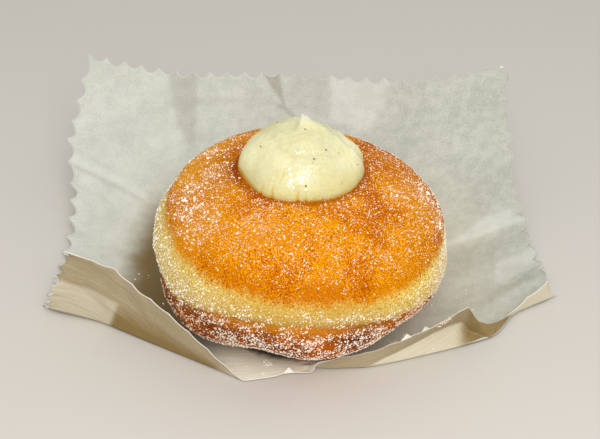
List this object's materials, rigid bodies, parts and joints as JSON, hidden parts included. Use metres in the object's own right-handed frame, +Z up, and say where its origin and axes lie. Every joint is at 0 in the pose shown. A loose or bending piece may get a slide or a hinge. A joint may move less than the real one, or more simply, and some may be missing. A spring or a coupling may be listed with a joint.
{
  "type": "bombolone",
  "caption": "Round sugared bombolone with a pale belt and a peaked dollop of pastry cream on top, served in an opened sheet of pinked greaseproof paper.",
  "frame": {"origin": "on the flat underside of the paper, straight below the middle of the bun", "axes": "+Z up, +X to the right and -Y towards the side with the turned-up paper corners, the front in the picture"},
  "size_m": [0.1702, 0.1401, 0.0718],
  "materials": {
    "dough": "golden fried crust under granulated sugar",
    "cream": "glossy set pastry cream with vanilla specks",
    "paper": "mottled satin greaseproof paper"
  },
  "bodies": {
    "root": {"dough": "dough", "cream": "cream", "paper": "paper"}
  },
  "joints": []
}
